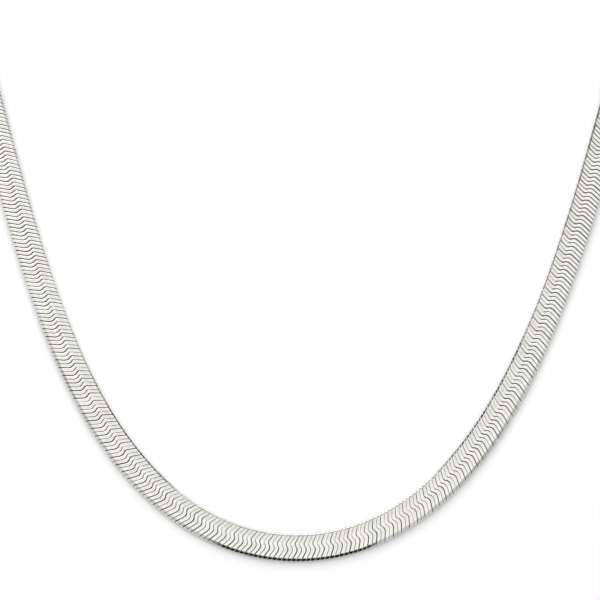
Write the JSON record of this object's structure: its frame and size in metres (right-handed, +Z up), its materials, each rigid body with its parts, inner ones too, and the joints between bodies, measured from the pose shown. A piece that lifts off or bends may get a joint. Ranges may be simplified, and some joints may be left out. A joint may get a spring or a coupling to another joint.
{
  "type": "herringbone chain necklace",
  "caption": "Closed necklace lying flat: a wide, thin, flexible band of polished S-shaped metal slats in a rounded teardrop loop, with end caps, rings and a hook clasp at the back.",
  "frame": {"origin": "centre of the necklace's outline on the surface that it lies on", "axes": "+X to the right in the picture, +Y from the front of the necklace to its clasp, +Z up off the surface"},
  "size_m": [0.1396, 0.1548, 0.0034],
  "materials": {
    "slat_silver": "polished slats with dark gaps between them",
    "fitting_silver": "polished"
  },
  "bodies": {
    "root": {"chain_left": "slat_silver", "chain_right": "slat_silver", "end_cap_left": "fitting_silver", "end_cap_right": "fitting_silver", "jump_ring_left": "fitting_silver", "jump_ring_right": "fitting_silver", "clasp": "fitting_silver"}
  },
  "joints": []
}
